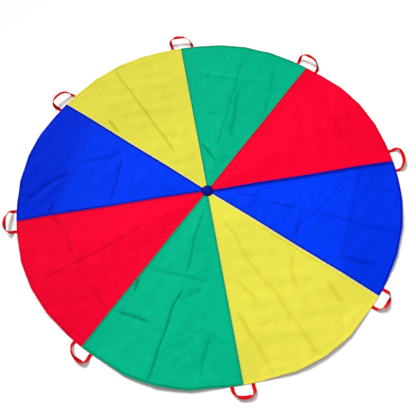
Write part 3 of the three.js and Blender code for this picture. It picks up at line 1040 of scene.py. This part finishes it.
def handle_path(handle):
    """The middle line of a handle from the inner end of one tab, round the loop, to the inner end of the
    other. X is outward from the hinge line, Y along it and Z up. Also gives the turn at each point."""
    sides = []
    for hand in (1, -1):
        out, across, up = np.array(loop_sides[hand]).T
        y = hand * across * handle.span / 2 + handle.lean * out**2
        sides.append(np.stack([handle.reach * out, y, handle.rise * up], axis=-1))
    loop = smooth_path(np.vstack([sides[0], sides[1][::-1]]), loop_rows)
    tab_end = tab_show - hinge_reach - tab_length
    tab = np.zeros((tab_rows, 3))
    tab[:, 0] = np.linspace(tab_end, 0.0, tab_rows, endpoint=False)
    tab[:, 1] = handle.span / 2
    turn = webbing_turn(handle.turns, np.linspace(0.0, 1.0, loop_rows), hinge_height + loop[:, 2])
    still = np.zeros(tab_rows)
    return np.vstack([tab, loop, tab[::-1] * [1, -1, 1]]), np.concatenate([still, turn, still])


def webbing(name, deep, plain, pale):
    """Flat woven webbing: ribs of warp along the strip, crossed by the weft, with painted shade in the gaps
    between them, and a denser, darker selvedge on both edges."""
    material, tree, shader = new_material(name, roughness=0.6, specular=0.04, sheen=0.03, sheen_colour=plain)
    place = place_on_cloth(tree)
    warp = bands(tree, place, "X", webbing_width / (2 * webbing_ribs))
    weave = calculate(tree, "MULTIPLY", warp, bands(tree, place, "Y", weft_pitch))
    from_middle = calculate(tree, "ABSOLUTE", across_cloth(tree, place))
    mottle = noise(tree, place, 260.0, 3.0)
    # Painted shade in the gaps between the ribs and under the weft.
    tone = calculate(tree, "MULTIPLY_ADD", weave, 0.28, 0.30)
    tone = calculate(tree, "MULTIPLY_ADD", mottle, 0.25, tone)
    tone = calculate(tree, "MULTIPLY_ADD", soft_step(tree, from_middle, *selvedge), -0.22, tone)
    tree.links.new(tone_ramp(tree, tone, deep, plain, pale), shader.inputs["Base Color"])
    emboss(tree, shader, weave, strength=0.4, distance=0.0003)
    return material


red_webbing = webbing("red_webbing", linear(146, 0, 6), linear(216, 2, 11), linear(232, 9, 17))

for index, handle in enumerate(handles):
    path, turn = handle_path(handle)
    direction = np.gradient(path, axis=0)
    direction = direction / np.linalg.norm(direction, axis=1, keepdims=True)
    flat_across = np.cross([0.0, 0.0, 1.0], direction)
    flat_across = flat_across / np.linalg.norm(flat_across, axis=1, keepdims=True)
    flat_through = np.cross(direction, flat_across)
    cosine, sine = np.cos(turn)[:, None], np.sin(turn)[:, None]
    across = flat_across * cosine + flat_through * sine
    through = flat_through * cosine - flat_across * sine

    # Half the thickness of the webbing: its edge, plus the square root of one less the seventh power of the
    # share of its half width, plus the ribs, which are a cosine.
    share = np.sin(np.linspace(-math.pi / 2, math.pi / 2, webbing_columns))
    half = webbing_edge / 2 + (webbing_thickness - webbing_edge) / 2 * np.sqrt(1.0 - np.abs(share) ** 7)
    half = half + rib_height * np.cos(2 * math.pi * webbing_ribs * share)
    middle = path[:, None, :] + share[None, :, None] * across[:, None, :] * webbing_width / 2
    offset = half[None, :, None] * through[:, None, :]
    travelled = np.concatenate([[0.0], np.cumsum(np.linalg.norm(np.diff(path, axis=0), axis=1))])
    flat = np.stack(np.broadcast_arrays(share[None, :] * webbing_width / 2, travelled[:, None]), axis=-1)

    cosine, sine = math.cos(index * gore_angle), math.sin(index * gore_angle)
    turned = np.array([[cosine, sine, 0], [-sine, cosine, 0], [0, 0, 1]])
    hinge = np.array([canopy_radius + hinge_reach, handle.shift, hinge_height])
    strap = closed_strip(
        f"handle_{index + 1}_webbing",
        (middle + offset + hinge) @ turned,
        (middle - offset + hinge) @ turned,
        red_webbing,
        flat=flat,
    )
    outward = Vector(turned[0])
    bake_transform(strap)
    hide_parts(*(f"handle_{index + 1}_{part}" for part in ("loop", "tab_a", "tab_b")))

# Tacks
# Each tab is held by a bar of close zigzag stitching that goes through the hem and the webbing under it, in
# thread of the hem's own colour.

tack_length = 0.013
tack_width = 0.0025
tack_inset = 0.0045
tack_stitches = 14
tack_zigzag = 0.0004
tack_thread_width = 0.0009

for index, handle in enumerate(handles):
    for end, hand in (("a", 1), ("b", -1)):
        gore = index if hand > 0 else (index - 1) % len(gore_names)
        count = np.arange(tack_stitches)
        sideways = handle.shift + hand * handle.span / 2
        beside = sideways + ((count + 0.5) / tack_stitches - 0.5) * tack_length
        zigzag = np.where(count % 2 == 0, tack_zigzag, -tack_zigzag)
        ends = []
        for way in (-1, 1):
            radius = canopy_radius - tack_inset + way * tack_width / 2
            angle = (beside + way * zigzag) / radius
            share = hand * (np.abs(angle) / half_gore - 1.0)
            ends.append(on_top(gore, np.full_like(angle, radius), share))
        name = f"handle_{index + 1}_tack_{end}"
        tack = add_stitches(name, *ends, threads[gore_colours[gore]], tack_width, tack_thread_width)
        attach(tack, "canopy")
        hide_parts(name)

# Floor, light and camera
# A plain white floor under a soft studio light: one key from behind on the left, a wide lamp overhead
# and an even white surround.

floor_size = 80.0
paper_white = (0.95, 0.95, 0.95, 1.0)
paper_lift = 0.17
floor_points = np.array([[-1, -1, 0], [1, -1, 0], [1, 1, 0], [-1, 1, 0]]) * floor_size / 2


def seen_directly(tree):
    """1 for rays from the camera, off gloss or through glass, and 0 for the light that falls on things."""
    path = add_node(tree, "ShaderNodeLightPath").outputs
    seen = calculate(tree, "MAXIMUM", path["Is Camera Ray"], path["Is Glossy Ray"])
    return calculate(tree, "MAXIMUM", seen, path["Is Transmission Ray"])


paper = bpy.data.materials.new("floor_paper")
paper.use_nodes = True
paper_tree = paper.node_tree
paper_tree.nodes.remove(paper_tree.nodes["Principled BSDF"])
paper_base = add_node(paper_tree, "ShaderNodeBsdfDiffuse", Color=paper_white).outputs[0]
glow_strength = calculate(paper_tree, "MULTIPLY", seen_directly(paper_tree), paper_lift)
paper_glow = add_node(paper_tree, "ShaderNodeEmission", Strength=glow_strength).outputs[0]
paper_sum = add_node(paper_tree, "ShaderNodeAddShader", in_0=paper_base, in_1=paper_glow).outputs[0]
paper_tree.links.new(paper_sum, paper_tree.nodes["Material Output"].inputs["Surface"])
floor = add_piece("floor", floor_points, [np.array([[0, 1, 2, 3]])], paper)

surround_strength = 0.11
world = bpy.data.worlds.new("studio")
world.use_nodes = True
bpy.context.scene.world = world
surround = world.node_tree.nodes["Background"]
surround.inputs["Color"].default_value = (1.0, 1.0, 1.0, 1.0)
seen = seen_directly(world.node_tree)
strength = calculate(world.node_tree, "MULTIPLY_ADD", seen, 1.0 - surround_strength, surround_strength)
world.node_tree.links.new(strength, surround.inputs["Strength"])

key_azimuth = math.radians(115)
key_elevation = math.radians(46)
key_share = 0.70
key_softness = math.radians(22)
key = bpy.data.lights.new("key", "SUN")
key.energy = math.pi * key_share / math.sin(key_elevation)
key.angle = key_softness
key_lamp = bpy.data.objects.new("key", key)
key_back = Vector((
    math.cos(key_azimuth) * math.cos(key_elevation),
    math.sin(key_azimuth) * math.cos(key_elevation),
    math.sin(key_elevation),
))
key_lamp.rotation_euler = key_back.to_track_quat("Z", "Y").to_euler()
bpy.context.scene.collection.objects.link(key_lamp)

overhead_place = Vector((0.25, -0.20, 1.8))
overhead_size = 1.0
overhead_share = 0.24
overhead = bpy.data.lights.new("overhead", "AREA")
overhead.shape = "SQUARE"
overhead.size = overhead_size
overhead.energy = math.pi * overhead_share * math.pi * overhead_place.z**2
overhead_lamp = bpy.data.objects.new("overhead", overhead)
overhead_lamp.location = overhead_place
bpy.context.scene.collection.objects.link(overhead_lamp)

# The camera stands in front of the canopy and looks down on it, a little turned and tilted.
camera_turn = math.radians(-5.54)
camera_elevation = math.radians(63.0)
camera_roll = math.radians(-4.263)
camera_distance = 2.949 * canopy_radius
camera_aim = Vector((-0.0038, -0.0998, 0.0)) * canopy_radius
focal_pixels = 571.2
frame_pixels = 416
camera_data = bpy.data.cameras.new("camera")
camera_data.sensor_width = 36.0
camera_data.lens = focal_pixels / frame_pixels * camera_data.sensor_width
camera = bpy.data.objects.new("camera", camera_data)
toward = Vector((0.0, math.cos(camera_elevation), -math.sin(camera_elevation)))
level_up = Vector((0.0, math.sin(camera_elevation), math.cos(camera_elevation)))
level_right = Vector((1.0, 0.0, 0.0))
right = level_right * math.cos(camera_roll) + level_up * math.sin(camera_roll)
up = level_up * math.cos(camera_roll) - level_right * math.sin(camera_roll)
stand = Matrix.Translation(camera_aim - toward * camera_distance)
facing = Matrix((right, up, -toward)).transposed().to_4x4()
camera.matrix_world = Matrix.Rotation(camera_turn, 4, "Z") @ stand @ facing
bpy.context.scene.collection.objects.link(camera)
bpy.context.scene.camera = camera
bpy.context.scene.view_settings.view_transform = "Standard"
